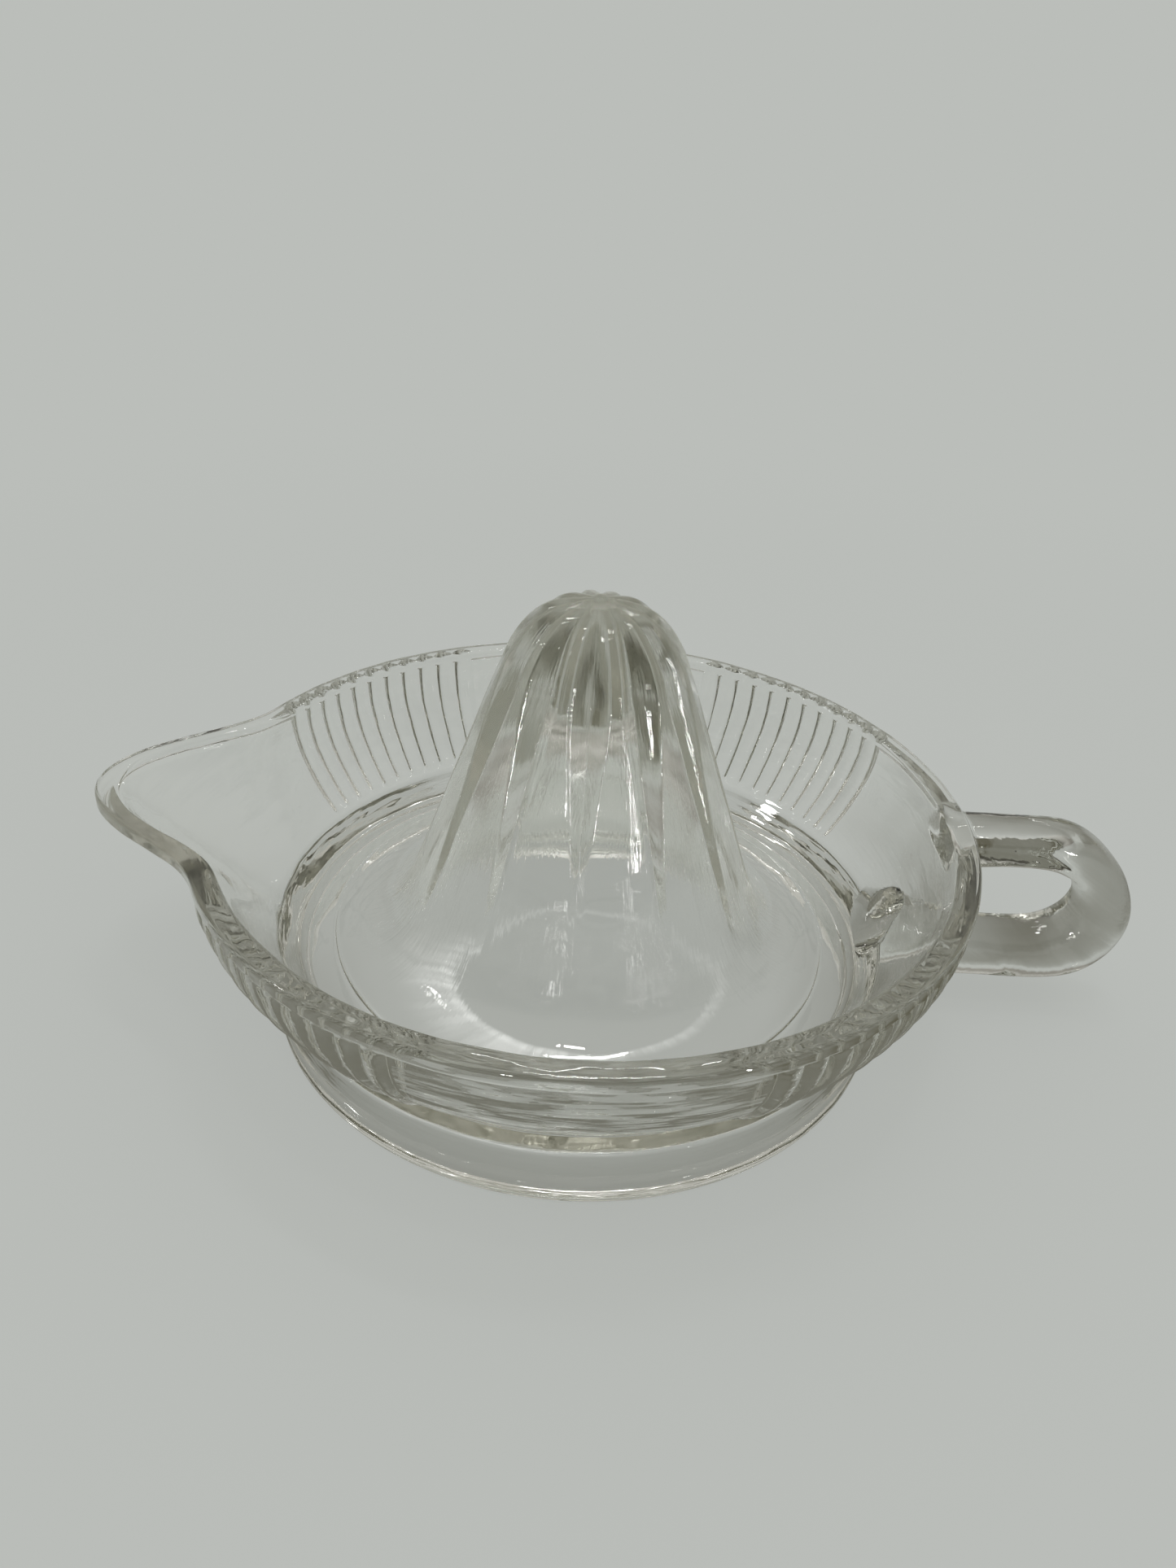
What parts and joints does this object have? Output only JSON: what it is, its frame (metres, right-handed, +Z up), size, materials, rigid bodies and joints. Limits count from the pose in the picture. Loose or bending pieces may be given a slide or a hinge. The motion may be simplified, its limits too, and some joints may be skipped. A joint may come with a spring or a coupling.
{
  "type": "citrus reamer",
  "caption": "Pressed clear-glass citrus reamer: ribbed round bowl on a foot ring, fluted hollow cone, pouring spout and closed finger-loop handle.",
  "frame": {"origin": "on the table, under the middle of the whole footprint from spout lip to handle end; the bowl's axis stands 9 mm from it toward the spout", "axes": "+X toward the handle and -X toward the spout, +Y across the bowl, +Z up along the cone"},
  "size_m": [0.207, 0.15, 0.0849],
  "materials": {
    "clear_glass": "fire-polished clear soda-lime pressed glass with a faint olive-grey tint in its thick edges"
  },
  "bodies": {
    "root": {"foot_ring": "clear_glass", "bowl_floor": "clear_glass", "bowl_wall": "clear_glass", "pour_spout": "clear_glass", "reaming_cone": "clear_glass", "handle": "clear_glass"}
  },
  "joints": []
}
